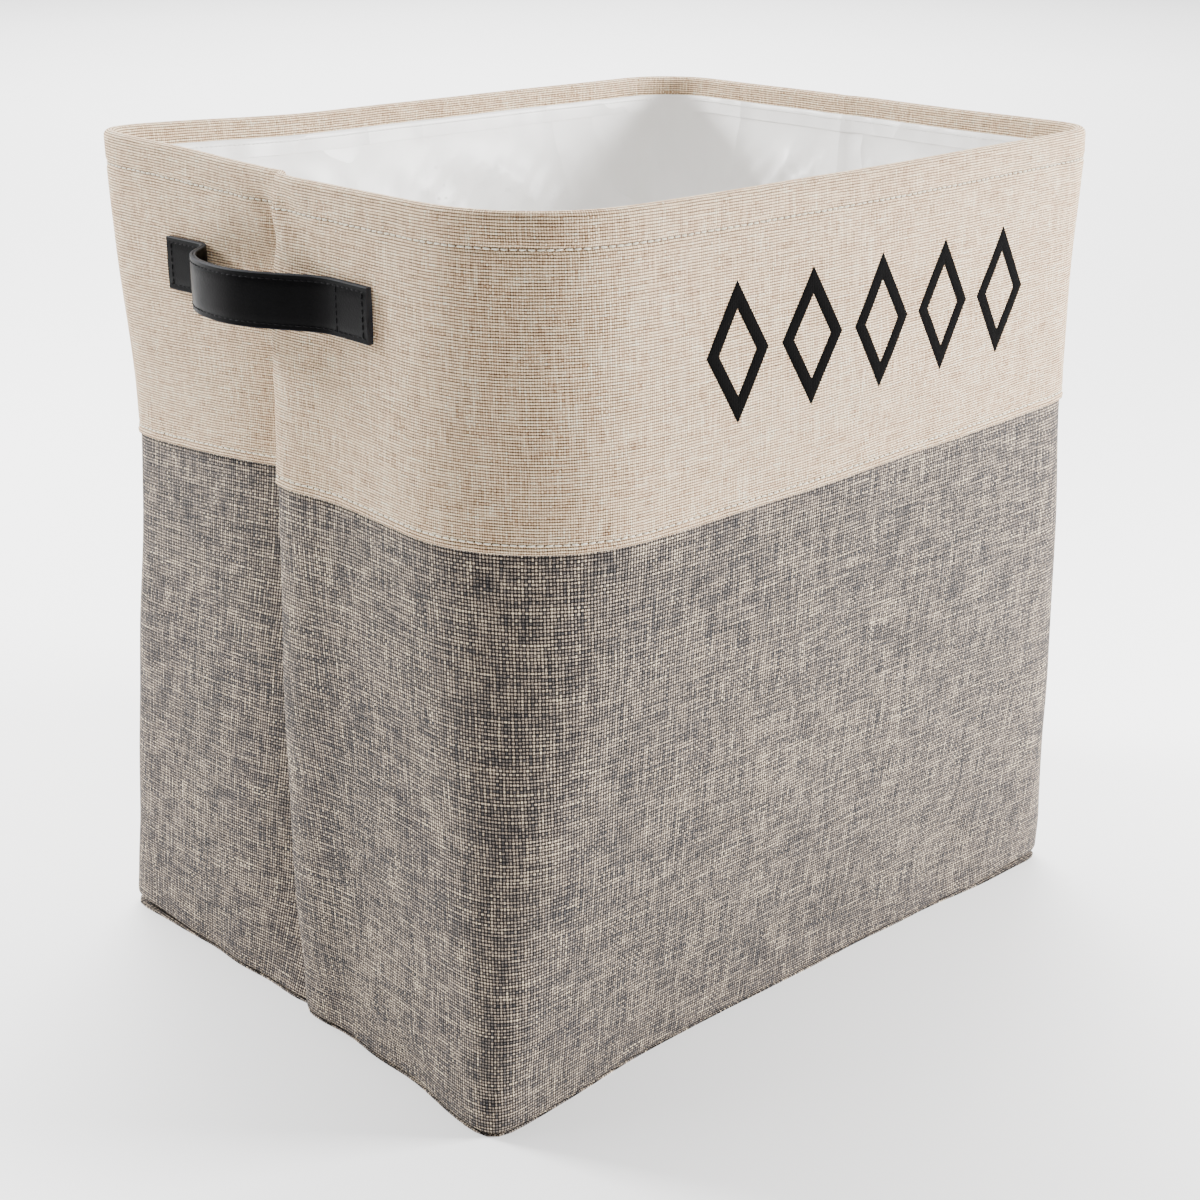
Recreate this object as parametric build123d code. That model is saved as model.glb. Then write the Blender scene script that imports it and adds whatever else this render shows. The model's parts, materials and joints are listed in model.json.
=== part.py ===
from build123d import *
import os

# Fabric storage bin: a soft, open-topped box that folds flat.
# Millimetres, +Z up. The origin is on the floor under the middle of the bin. X runs along the
# long side, the printed front faces -Y and a handle is sewn to each end wall (-X and +X).

os.makedirs("parts", exist_ok=True)

# Overall shape of the fabric body, without handles
LENGTH = 384.0
DEPTH = 300.0
HEIGHT = 400.0
CORNER_RADIUS = 30.0

# Wall lay-up: distance of each layer's outer face in from the outside of the band
FABRIC = 1.0
SHELL_INSET = 1.0
BOARD_INSET = 2.3
BOARD = 2.5
FACING_INSET = 5.0
FACING = 0.8
LINER_INSET = 6.0
LINER = 0.6
HINGE_INSET = BOARD_INSET + BOARD / 2

# Heights
BASE_FABRIC = 1.2
SHELL_BOTTOM = 1.6
SHELL_TOP = 276.0
BAND_BOTTOM = 263.0
HEM_STITCH_UP = 4.0
TOPSTITCH_DOWN = 14.5
FACING_DEPTH = 25.0
LINER_TOP_DOWN = 13.0
LINER_STITCH_DOWN = 2.5
BOARD_BOTTOM = 9.0
BOARD_TOP = HEIGHT - 8.0
BASE_FELT_BOTTOM = 1.6
BASE_FELT = 4.0
LINER_BASE_Z = 6.0

# Rolled rim
RIM_RADIUS = 2.3
RIM_CORD_RADIUS = 1.6

# Gaps between the pieces that fold
SEAM_GAP = 0.4
BOARD_GAP = 0.5

# Handle: a flat strap of two plies whose middle stands off the end wall
STRAP_WIDTH = 24.5
STRAP_PLY = 1.4
STRAP_TOP_DOWN = 38.5
HANDLE_HALF_LENGTH = 75.0
TAB_LENGTH = 27.0
HANDLE_RISE = 24.0
HANDLE_HALF_PLATEAU = 24.0
HANDLE_BEND = 9.0
STRAP_OFF_WALL = 0.2
TAB_STITCH_MARGIN = 3.0

# Stitching, tape and print
THREAD_PROUD = 0.4
THREAD_WIDTH = 0.8
TAPE_WIDTH = 16.0
PATCH_MARGIN = 4.0
MOTIF_CENTRE_X = 17.0
MOTIF_CENTRE_Z = 334.0
MOTIF_PITCH = 44.0
MOTIF_WIDTH = 36.0
MOTIF_HEIGHT = 60.0
MOTIF_STROKE = 7.0
MOTIF_COUNT = 5
FILM = 0.3

BIG = 2000.0
HALF_LENGTH = LENGTH / 2
HALF_DEPTH = DEPTH / 2


def save(shape, node):
    export_step(shape, "parts/" + node + ".step")


def plan(inset):
    """The bin's outline in plan, moved inwards by inset."""
    return RectangleRounded(LENGTH - 2 * inset, DEPTH - 2 * inset, CORNER_RADIUS - inset)


def slab(inset, z0, z1):
    """A filled layer across the whole plan."""
    return Pos(0, 0, z0) * extrude(plan(inset), z1 - z0)


def ring(outer_inset, inner_inset, z0, z1):
    """A closed wall all the way round the plan."""
    return Pos(0, 0, z0) * extrude(plan(outer_inset) - plan(inner_inset), z1 - z0)


def half(shape, side):
    """The front (side -1) or rear (side +1) half, up to the seams in the end walls."""
    return shape & Pos(0, side * (BIG + SEAM_GAP) / 2, 0) * Box(BIG, BIG, BIG)


def z_edges(shape, z):
    """The edges of a shape that lie flat at one height."""
    return shape.edges().filter_by_position(Axis.Z, z - 0.01, z + 0.01)


def save_halves(shape, name):
    """Saves a layer as its front and rear pieces, which meet at the end seams."""
    save(half(shape, -1), name + "_front")
    save(half(shape, 1), name + "_rear")


def band():
    """The upper band: outer leaf, rolled rim and the facing that turns down inside."""
    cover = ring(0, FACING_INSET + FACING, BAND_BOTTOM, HEIGHT)
    cover = fillet(z_edges(cover, HEIGHT), RIM_RADIUS)
    core = ring(FABRIC, FACING_INSET, BAND_BOTTOM - 1, HEIGHT - FABRIC)
    core = fillet(z_edges(core, HEIGHT - FABRIC), RIM_RADIUS - FABRIC + 0.3)
    below_facing = ring(FABRIC, FACING_INSET + FACING + 1, BAND_BOTTOM - 1, HEIGHT - FACING_DEPTH)
    return cover - core - below_facing


def rim_cord():
    """The filler cord inside the rolled rim."""
    inset = FACING_INSET / 2 + FABRIC / 2
    z = HEIGHT - FABRIC - RIM_CORD_RADIUS - 0.2
    cord = ring(inset - RIM_CORD_RADIUS, inset + RIM_CORD_RADIUS, z - RIM_CORD_RADIUS, z + RIM_CORD_RADIUS)
    edges = z_edges(cord, z - RIM_CORD_RADIUS) + z_edges(cord, z + RIM_CORD_RADIUS)
    return fillet(edges, RIM_CORD_RADIUS - 0.05)


def thread_row(inset, z):
    """One row of stitching round the bin, standing a little proud of the face at inset."""
    return ring(inset - THREAD_PROUD, inset, z - THREAD_WIDTH / 2, z + THREAD_WIDTH / 2)


def inner_thread_row(inset, z):
    """One row of stitching on the inside of the bin."""
    return ring(inset, inset + THREAD_PROUD, z - THREAD_WIDTH / 2, z + THREAD_WIDTH / 2)


def long_board(side):
    """The stiffener board of the front (side -1) or rear (side +1) wall."""
    width = LENGTH - 2 * CORNER_RADIUS - 2 * BOARD_GAP
    tall = BOARD_TOP - BOARD_BOTTOM
    y = side * (HALF_DEPTH - HINGE_INSET)
    return Pos(0, y, BOARD_BOTTOM + tall / 2) * Box(width, BOARD, tall)


def end_board(end, side):
    """Half of an end wall's stiffener board: it stops short of the middle seam and the corner."""
    near = BOARD_GAP
    far = HALF_DEPTH - CORNER_RADIUS - BOARD_GAP
    tall = BOARD_TOP - BOARD_BOTTOM
    x = end * (HALF_LENGTH - HINGE_INSET)
    y = side * (near + far) / 2
    return Pos(x, y, BOARD_BOTTOM + tall / 2) * Box(BOARD, far - near, tall)


def corner_felt(end, side):
    """The soft interlining that carries the wall round a corner between two boards."""
    wall = ring(BOARD_INSET, BOARD_INSET + BOARD, BOARD_BOTTOM, BOARD_TOP)
    cut = CORNER_RADIUS - BOARD_GAP
    x = end * (HALF_LENGTH - cut + BIG / 2)
    y = side * (HALF_DEPTH - cut + BIG / 2)
    return wall & Pos(x, y, 0) * Box(BIG, BIG, BIG)


def seam_tape(end):
    """The tape over the seam allowance inside an end wall."""
    x = end * (HALF_LENGTH - FACING_INSET - 0.4)
    z0 = BOARD_BOTTOM
    z1 = HEIGHT - FACING_DEPTH - 2
    return Pos(x, 0, (z0 + z1) / 2) * Box(0.5, TAPE_WIDTH, z1 - z0)


def base_felt(side):
    """The felt under half of the base; the two pieces meet at the fold across the middle."""
    felt = slab(LINER_INSET + LINER + 0.4, BASE_FELT_BOTTOM, BASE_FELT_BOTTOM + BASE_FELT)
    return half(felt, side)


def strap_z():
    """Middle height of the handle straps."""
    return HEIGHT - STRAP_TOP_DOWN - STRAP_WIDTH / 2


def handle_path(end):
    """The line between the two plies, seen from above: flat tabs, two bends and a plateau."""
    flat = HALF_LENGTH + STRAP_OFF_WALL + STRAP_PLY
    out = HALF_LENGTH + HANDLE_RISE
    inner = HANDLE_HALF_LENGTH - TAB_LENGTH
    points = [
        (end * flat, -HANDLE_HALF_LENGTH),
        (end * flat, -inner),
        (end * out, -HANDLE_HALF_PLATEAU),
        (end * out, HANDLE_HALF_PLATEAU),
        (end * flat, inner),
        (end * flat, HANDLE_HALF_LENGTH),
    ]
    return FilletPolyline(*points, radius=HANDLE_BEND)


def handle_ply(end, outer):
    """One ply of a strap, on the outer or the wall side of the path."""
    path = Wire(handle_path(end).edges())
    side = Side.RIGHT if (end < 0) != outer else Side.LEFT
    outline = path.offset_2d(STRAP_PLY, side=side, closed=True)
    ply = extrude(make_face(outline.edges()), STRAP_WIDTH / 2, both=True)
    return Pos(0, 0, strap_z()) * ply


def tab_middle(side):
    return side * (HANDLE_HALF_LENGTH - TAB_LENGTH / 2)


def tab_stitch(end, side):
    """The box of stitching that holds one tab of a handle to the wall."""
    wide = TAB_LENGTH - 2 * TAB_STITCH_MARGIN
    tall = STRAP_WIDTH - 2 * TAB_STITCH_MARGIN
    loop = Box(THREAD_PROUD, wide, tall)
    loop -= Box(THREAD_PROUD * 3, wide - 2 * THREAD_WIDTH, tall - 2 * THREAD_WIDTH)
    x = end * (HALF_LENGTH + STRAP_OFF_WALL + 2 * STRAP_PLY + 0.3 + THREAD_PROUD / 2)
    return Pos(x, tab_middle(side), strap_z()) * loop


def handle_patch(end, side):
    """The reinforcement behind a tab, inside the band."""
    thick = BOARD_INSET - FABRIC - 0.6
    x = end * (HALF_LENGTH - FABRIC - 0.3 - thick / 2)
    wide = TAB_LENGTH + 2 * PATCH_MARGIN
    tall = STRAP_WIDTH + 2 * PATCH_MARGIN
    return Pos(x, tab_middle(side), strap_z()) * Box(thick, wide, tall)


def lozenge(width, height):
    return Polygon((0, -height / 2), (width / 2, 0), (0, height / 2), (-width / 2, 0))


def printed_motif():
    """A plain row of upright open lozenges in film on the front of the band."""
    shape = lozenge(MOTIF_WIDTH, MOTIF_HEIGHT)
    inner_width = MOTIF_WIDTH - 2 * MOTIF_STROKE
    shape -= lozenge(inner_width, MOTIF_HEIGHT * inner_width / MOTIF_WIDTH)
    motifs = []
    for i in range(MOTIF_COUNT):
        x = MOTIF_CENTRE_X + (i - (MOTIF_COUNT - 1) / 2) * MOTIF_PITCH
        place = Plane(origin=(x, -HALF_DEPTH, MOTIF_CENTRE_Z), x_dir=(1, 0, 0), z_dir=(0, -1, 0))
        motifs.append(extrude(place * shape, FILM))
    return Compound(motifs)


def build():
    save_halves(ring(SHELL_INSET, SHELL_INSET + FABRIC, SHELL_BOTTOM, SHELL_TOP), "lower_shell")
    save_halves(band(), "band")
    save_halves(rim_cord(), "rim_cord")
    liner = ring(LINER_INSET, LINER_INSET + LINER, LINER_BASE_Z + LINER + 0.4, HEIGHT - LINER_TOP_DOWN)
    save_halves(liner, "liner")

    save_halves(thread_row(0, HEIGHT - TOPSTITCH_DOWN), "topstitch")
    save_halves(thread_row(0, BAND_BOTTOM + HEM_STITCH_UP), "hem_stitch")
    liner_stitch_z = HEIGHT - LINER_TOP_DOWN - LINER_STITCH_DOWN
    save_halves(inner_thread_row(LINER_INSET + LINER, liner_stitch_z), "liner_stitch")

    save(slab(SHELL_INSET, 0, BASE_FABRIC), "base_fabric")
    binding = ring(BOARD_INSET, BOARD_INSET + BOARD, SHELL_BOTTOM, BOARD_BOTTOM - 0.8)
    save(binding, "base_binding")
    save(slab(LINER_INSET + LINER + 0.4, LINER_BASE_Z, LINER_BASE_Z + LINER), "liner_base")
    for side, side_name in ((-1, "front"), (1, "rear")):
        save(base_felt(side), "base_felt_" + side_name)
        save(long_board(side), side_name + "_board")

    for end, end_name in ((-1, "left"), (1, "right")):
        save(seam_tape(end), "seam_tape_" + end_name)
        save(handle_ply(end, True), "handle_" + end_name + "_face")
        save(handle_ply(end, False), "handle_" + end_name + "_backing")
        for side, side_name in ((-1, "front"), (1, "rear")):
            place = end_name + "_" + side_name
            save(end_board(end, side), place + "_board")
            save(corner_felt(end, side), "corner_felt_" + place)
            save(tab_stitch(end, side), "tab_stitch_" + place)
            save(handle_patch(end, side), "handle_patch_" + place)

    save(printed_motif(), "printed_motif")


build()
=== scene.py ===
import json
import math
import random

import bpy
import numpy as np
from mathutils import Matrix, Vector


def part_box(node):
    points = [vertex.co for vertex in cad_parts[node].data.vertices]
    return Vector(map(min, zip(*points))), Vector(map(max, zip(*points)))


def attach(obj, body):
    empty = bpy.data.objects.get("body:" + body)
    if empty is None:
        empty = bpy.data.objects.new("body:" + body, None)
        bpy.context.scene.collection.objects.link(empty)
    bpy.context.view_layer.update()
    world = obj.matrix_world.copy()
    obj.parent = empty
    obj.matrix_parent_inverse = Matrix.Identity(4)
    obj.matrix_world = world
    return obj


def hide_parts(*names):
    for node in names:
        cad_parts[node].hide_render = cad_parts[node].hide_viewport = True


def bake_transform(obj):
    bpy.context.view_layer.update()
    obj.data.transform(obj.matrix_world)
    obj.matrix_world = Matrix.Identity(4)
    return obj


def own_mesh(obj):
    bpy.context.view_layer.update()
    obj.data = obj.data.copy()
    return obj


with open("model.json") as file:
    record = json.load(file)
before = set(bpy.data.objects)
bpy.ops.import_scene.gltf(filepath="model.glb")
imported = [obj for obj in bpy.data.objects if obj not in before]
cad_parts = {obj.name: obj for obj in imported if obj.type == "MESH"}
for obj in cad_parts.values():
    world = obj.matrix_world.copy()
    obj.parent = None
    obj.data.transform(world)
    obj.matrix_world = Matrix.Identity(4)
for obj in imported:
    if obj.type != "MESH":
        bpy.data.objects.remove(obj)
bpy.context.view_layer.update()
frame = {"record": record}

# --- Sizes, taken from the frame. The walls are worked out in millimetres and stored in metres ---
MM = 0.001
BAND_LOW, BAND_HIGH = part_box("band_front")
HEIGHT = BAND_HIGH.z / MM
HEM_Z = BAND_LOW.z / MM
SHELL_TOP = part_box("lower_shell_front")[1].z / MM
TOPSTITCH_Z = sum(p.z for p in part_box("topstitch_front")) / 2 / MM
HEM_STITCH_Z = sum(p.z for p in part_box("hem_stitch_front")) / 2 / MM
LINER_RISE = 3.0  # the soft lining stands this much higher than its plain solid
LINER_STITCH_Z = sum(p.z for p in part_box("liner_stitch_front")) / 2 / MM + LINER_RISE
LINER_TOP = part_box("liner_front")[1].z / MM + LINER_RISE
BOARD_BOTTOM, BOARD_TOP = (p.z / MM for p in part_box("front_board"))
STRAP_BOTTOM, STRAP_TOP = (p.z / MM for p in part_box("handle_left_face"))

# How far behind the wall's outer face each layer starts, and how thick each one is
SHELL_INSET, PATCH_INSET, BOARD_INSET, TAPE_INSET, LINER_INSET = 1.0, 1.25, 2.3, 5.0, 6.1
FABRIC, BOARD, BINDING, PATCH, LINING, TAPE = 1.0, 2.3, 1.6, 0.6, 0.4, 0.4
HIDDEN_STEP = 9.0  # between the rows of points on the flat layers inside the wall

# --- How the soft walls stand. Each row of values is for one of the heights in LEVELS, in mm ---
LEVELS = np.array([0.0, 0.30, 0.66, 1.0]) * HEIGHT
SAMPLES = 96
QUARTERS = ("left_front", "right_front", "right_rear", "left_rear")
FRONT = np.array([151.0, 156.0, 160.0, 158.0])
REAR = np.array([154.0, 143.0, 131.0, 138.0])
LEFT = np.array([199.0, 197.0, 191.0, 184.0])
RIGHT = np.array([206.0, 195.0, 185.0, 184.0])
BOW_FRONT = np.array([-9.0, 0.0, 6.0, 7.0])
BOW_REAR = np.array([-4.0, -2.0, 0.0, 3.0])
BOW_END = np.array([-7.0, -3.0, -1.0, 2.0])
CORNERS = {
    "left_front": np.array([12.0, 34.0, 66.0, 60.0]),
    "right_front": np.array([12.0, 18.0, 24.0, 20.0]),
    "right_rear": np.array([12.0, 22.0, 32.0, 40.0]),
    "left_rear": np.array([12.0, 16.0, 20.0, 18.0]),
}
# How far each corner of the rim stands out
FLARE = {"left_front": 0.0, "right_front": 2.0, "right_rear": 2.0, "left_rear": 6.0}
# Where the corner felt ends along each quarter, as a share of its length from the crease
FELT_START = 0.31
FELT_END = {"left_front": 0.58, "right_front": 0.50, "right_rear": 0.52, "left_rear": 0.49}
# The dent at each end wall's middle seam: how deep it is, and how sharp towards the front
LEFT_CREASE, RIGHT_CREASE = (15.0, 3.0), (6.0, 10.0)


def signs(q):
    """The side of x = 0 and of y = 0 that a quarter is on."""
    return -1 if "left" in q else 1, -1 if "front" in q else 1


def smooth(a, b, x):
    """From 0 at a to 1 at b, level at both ends."""
    t = np.clip((x - a) / (b - a), 0, 1)
    return t * t * (3 - 2 * t)


def bell(x, width):
    """From 1 at x = 0 down to 0 over a few widths."""
    return np.exp(-((x / width) ** 2))


def cubic(values, slopes, i, t):
    """A smooth value between values[i] and values[i + 1], at the share t of the way."""
    return ((2 * t**3 - 3 * t**2 + 1) * values[i] + (t**3 - 2 * t**2 + t) * slopes[i]
            + (-2 * t**3 + 3 * t**2) * values[i + 1] + (t**3 - t**2) * slopes[i + 1])


def level(values, z):
    """Values given at LEVELS, read smoothly at height z."""
    slopes = np.gradient(values, LEVELS)
    i = int(np.clip(np.searchsorted(LEVELS, z) - 1, 0, len(LEVELS) - 2))
    h = LEVELS[i + 1] - LEVELS[i]
    return cubic(values, h * slopes, i, min(max((z - LEVELS[i]) / h, 0), 1.1))


def quarter_plan(q, ax, ay, r):
    """One quarter of the plan, anticlockwise from above, without its last point: two straight legs
    and an arc of radius r. Its points stand closer near the crease.
    """
    legs = np.array([ay - r, math.pi / 2 * r, ax - r])
    t = np.arange(SAMPLES) / SAMPLES
    if q in ("right_front", "left_rear"):
        t = 1 - t
    s = legs.sum() * (0.5 * t + 0.5 * t**2)
    x, y = np.full(SAMPLES, float(ax)), s.copy()
    arc = (s > legs[0]) & (s <= legs[0] + legs[1])
    angle = (s[arc] - legs[0]) / r
    x[arc], y[arc] = ax - r + r * np.cos(angle), ay - r + r * np.sin(angle)
    along = s > legs[0] + legs[1]
    x[along], y[along] = legs.sum() - s[along], ay
    return np.stack([x, y], 1) * signs(q)


def ease(loop, sigma):
    """Rounds a closed loop off along its length."""
    reach = range(-int(4 * sigma), int(4 * sigma) + 1)
    weights = np.array([math.exp(-0.5 * (i / sigma) ** 2) for i in reach])
    return sum(w * np.roll(loop, i, axis=0) for i, w in zip(reach, weights / weights.sum()))


def ease_open(values, sigma):
    """Rounds a row of values off, and leaves its ends where they are."""
    reach = np.arange(-4 * sigma, 4 * sigma + 1)
    weights = np.exp(-0.5 * (reach / sigma) ** 2)
    padded = np.pad(values, 4 * sigma, mode="edge")
    return np.convolve(padded, weights / weights.sum(), mode="valid")


def lift(u, v, z):
    """How far the cloth hangs above its nominal height; u and v are shares of the half sizes."""
    near_corner = np.exp(-((u + 0.75) ** 2 + (v + 1.0) ** 2) / 0.8)
    rear_left = smooth(0.3, 1.0, -u) * smooth(0.0, 1.0, v)
    hem = 6.0 * bell(z - HEM_Z, 110) * (1 - near_corner) * (1 - rear_left)
    rim = 5.0 * smooth(0.75, 1.0, z / HEIGHT) * rear_left
    right_toe = smooth(0.6, 1.0, u) * smooth(0.5, 1.0, -v)
    left_toe = smooth(0.6, 1.0, -u) * smooth(0.5, 1.0, v)
    toes = (3.0 * right_toe + 4.0 * left_toe) * (1 - smooth(0, 60, z))
    return hem + rim + toes


def swell(x, y, z):
    """Slow unevenness of the soft wall."""
    return (0.9 * np.sin(x / 41 + 0.8) * np.sin(z / 57 + 1.9)
            + 0.7 * np.sin(y / 29 + x / 67 + 2.1) * np.sin(z / 38)
            + 0.45 * np.sin(x / 17 + z / 31) * np.sin(y / 21 - z / 25 + 1.0))


def crease_relief(s, z, depth, sharp):
    """The dent at an end wall's middle seam, and the soft swelling in front of it.

    s runs from the seam towards the front.
    """
    high = z / HEIGHT
    fade = 0.25 + 0.75 * smooth(1.0, 0.78, high)
    behind = np.where(s < 0, np.exp(-np.abs(s / 30) ** 1.2), np.exp(-np.abs(s / sharp) ** 1.3))
    pillow = np.where(s > 0, bell(s - 13, 24), 0) * smooth(0, 7, s)
    return fade * smooth(-0.06, 0.17, high) * depth * (-behind + 0.42 * pillow)


def seam_pucker(s, z):
    """The gathers where the topstitching crosses the end seam."""
    here = bell(z - TOPSTITCH_Z + 4, 15) * bell(s - 4, 24)
    return here * (1.7 * np.sin((s + 0.9 * (z - TOPSTITCH_Z)) / 4.6 + 0.6) - 0.9)


def stitch_groove(along, z, row_z, depth):
    """The row of stitching pulls the cloth in a little, unevenly."""
    ripple = 0.22 * np.sin(along / 2.9 + 1.3 * np.sin(along / 31)) + 0.18 * np.sin(along / 7.7)
    return -depth * bell(z - row_z, 1.5) + ripple * bell(z - row_z, 5.5) * min(1, 2 * depth)


def foot_relief(along, z):
    """Wrinkles where the wall turns under, at the bottom seam."""
    patches = 0.5 + 0.5 * np.sin(along / 71 + 0.5)
    short = 0.8 * np.sin(along / 9.5 + 1.7 * np.sin(along / 53)) * patches
    return bell(z, 26) * (short + 0.5 * np.sin(along / 23 + z / 9))


WALLS = {}


def wall(z):
    """The wall at nominal height z: points (x, y, z), outward normals and lengths along the cloth.

    The length has one value more than the points: the last is the whole way round.
    """
    key = round(float(z), 3)
    if key in WALLS:
        return WALLS[key]
    sides = {"left": LEFT, "right": RIGHT, "front": FRONT, "rear": REAR}
    sizes = {side: level(values, z) for side, values in sides.items()}
    parts = []
    for q in QUARTERS:
        end, side = q.split("_")
        parts.append(quarter_plan(q, sizes[end], sizes[side], level(CORNERS[q], z)))
    loop = np.concatenate(parts)
    u = loop[:, 0] / np.where(loop[:, 0] < 0, sizes["left"], sizes["right"])
    v = loop[:, 1] / np.where(loop[:, 1] < 0, sizes["front"], sizes["rear"])
    bow = np.where(v < 0, -level(BOW_FRONT, z), level(BOW_REAR, z))
    loop[:, 1] += bow * (1 - u**2) * np.abs(v) ** 3
    loop[:, 0] += np.sign(u) * level(BOW_END, z) * (1 - v**2) * np.abs(u) ** 3
    loop = ease(loop, 2.0)
    for q in QUARTERS:
        sx, sy = signs(q)
        near = smooth(0.62, 1.0, z / HEIGHT) * smooth(0.45, 1.0, sx * u) * smooth(0.35, 1.0, sy * v)
        loop += np.stack([sx * FLARE[q] * near, sy * 0.6 * FLARE[q] * near], 1)
    tangent = np.roll(loop, -1, axis=0) - np.roll(loop, 1, axis=0)
    tangent /= np.linalg.norm(tangent, axis=1)[:, None]
    normal = np.stack([tangent[:, 1], -tangent[:, 0], np.zeros(len(loop))], 1)
    step = np.linalg.norm(np.roll(loop, -1, axis=0) - loop, axis=1)
    along = np.concatenate([[0], np.cumsum(step)[:-1]])
    total = step.sum()
    from_left = (along + total / 2) % total - total / 2
    from_right = along - along[2 * SAMPLES]
    relief = swell(loop[:, 0], loop[:, 1], z) + foot_relief(along, z)
    relief += crease_relief(from_left, z, *LEFT_CREASE) + crease_relief(-from_right, z, *RIGHT_CREASE)
    relief += seam_pucker(from_left, z) + 0.4 * seam_pucker(-from_right, z)
    relief += stitch_groove(along, z, TOPSTITCH_Z, 0.7) + stitch_groove(along, z, HEM_STITCH_Z, 0.35)
    points = np.column_stack([loop, z + lift(u, v, z)]) + normal * relief[:, None]
    points[[0, 2 * SAMPLES], 1] = 0
    step = np.linalg.norm(np.roll(points, -1, axis=0) - points, axis=1)
    WALLS[key] = (points, normal, np.concatenate([[0], np.cumsum(step)]))
    return WALLS[key]


def columns(q):
    """The columns of the wall loop that make one quarter, its last one shared with the next quarter."""
    first = QUARTERS.index(q) * SAMPLES
    return np.arange(first, first + SAMPLES + 1)


def crease_share(q, share):
    """The column of quarter q at a share of its length from the crease in its end wall."""
    first = QUARTERS.index(q) * SAMPLES
    t = (math.sqrt(1 + 8 * share) - 1) / 2
    return first + (t if q in ("left_front", "right_rear") else 1 - t) * SAMPLES


WEAVE_SHIFT = 900.0  # keeps the weave of the back apart from that of the front


def surface(cols, z, inset):
    """Points of the wall at fractional columns, pushed in by inset, their normals and distances.

    The distances run along the cloth from the middle of the front or the back, so that the yarns
    stand upright there.
    """
    points, normal, along = wall(z)
    n = len(points)
    low = np.floor(cols).astype(int)
    t = (np.asarray(cols, float) - low)[:, None]
    p = points[low % n] * (1 - t) + points[(low + 1) % n] * t
    m = normal[low % n] * (1 - t) + normal[(low + 1) % n] * t
    a = (low // n) * along[-1] + along[low % n] * (1 - t[:, 0]) + along[low % n + 1] * t[:, 0]
    a -= along[SAMPLES] if np.mean(cols) <= 2 * SAMPLES else along[3 * SAMPLES] - WEAVE_SHIFT
    return p - m * np.reshape(inset, (-1, 1)), m, a


# --- Mesh building ---
def make_mesh(name, verts, faces, uv=None, sharp=55):
    """A shaded mesh object from points in mm; uv has one (u, v) in mm for each point."""
    mesh = bpy.data.meshes.new(name)
    mesh.from_pydata((np.asarray(verts) * MM).tolist(), [], faces)
    if uv is not None:
        layer = mesh.uv_layers.new(name="weave")
        index = np.zeros(len(mesh.loops), int)
        mesh.loops.foreach_get("vertex_index", index)
        layer.data.foreach_set("uv", (np.asarray(uv)[index] * MM).astype(np.float32).ravel())
    mesh.polygons.foreach_set("use_smooth", [True] * len(mesh.polygons))
    mesh.set_sharp_from_angle(angle=math.radians(sharp))
    mesh.update()
    obj = bpy.data.objects.new(name, mesh)
    bpy.context.scene.collection.objects.link(obj)
    return obj


def grid_faces(rows, cols, offset=0, flip=False):
    """Four-sided faces over a grid of points, row by row."""
    faces = []
    for r in range(rows - 1):
        for c in range(cols - 1):
            a = offset + r * cols + c
            quad = (a, a + 1, a + cols + 1, a + cols)
            faces.append(quad[::-1] if flip else quad)
    return faces


def thick_sheet(name, outer, inner, uv):
    """A closed sheet between two grids of points, each of shape (rows, columns, 3)."""
    rows, cols = outer.shape[:2]
    count = rows * cols
    faces = grid_faces(rows, cols) + grid_faces(rows, cols, count, flip=True)
    for c in range(cols - 1):
        faces.append((c, c + count, c + 1 + count, c + 1))
        top = (rows - 1) * cols + c
        faces.append((top, top + 1, top + 1 + count, top + count))
    for r in range(rows - 1):
        a = r * cols
        faces.append((a, a + cols, a + cols + count, a + count))
        b = a + cols - 1
        faces.append((b, b + count, b + cols + count, b + cols))
    verts = np.concatenate([outer.reshape(-1, 3), inner.reshape(-1, 3)])
    return make_mesh(name, verts, faces, np.concatenate([uv.reshape(-1, 2)] * 2))


def wall_sheet(name, cols, path, thickness, wrinkle=None):
    """A sheet that follows the wall. path lists (inset, height) up the outer face of the sheet."""
    path = np.array(path, float)
    steps = np.linalg.norm(np.diff(path, axis=0), axis=1)
    length = np.concatenate([[0], np.cumsum(steps)]) + path[0, 1]
    direction = np.gradient(path, axis=0)
    direction /= np.linalg.norm(direction, axis=1)[:, None]
    outer, inner, uv = [], [], []
    for (inset, z), (di, dz), v in zip(path, direction, length):
        extra = wrinkle(cols, z) if wrinkle else 0
        p, _, along = surface(cols, z, inset + extra)
        q, _, _ = surface(cols, z, inset + extra + dz * thickness)
        q[:, 2] -= di * thickness
        outer.append(p)
        inner.append(q)
        uv.append(np.column_stack([along, np.full(len(cols), v)]))
    return thick_sheet(name, np.array(outer), np.array(inner), np.array(uv))


def straight(inset, z0, z1, step):
    """A stretch of a sheet's path that goes straight up or down."""
    count = max(2, int(round((z1 - z0) / step)) + 1)
    return [(inset, z) for z in np.linspace(z0, z1, count)]


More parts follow.
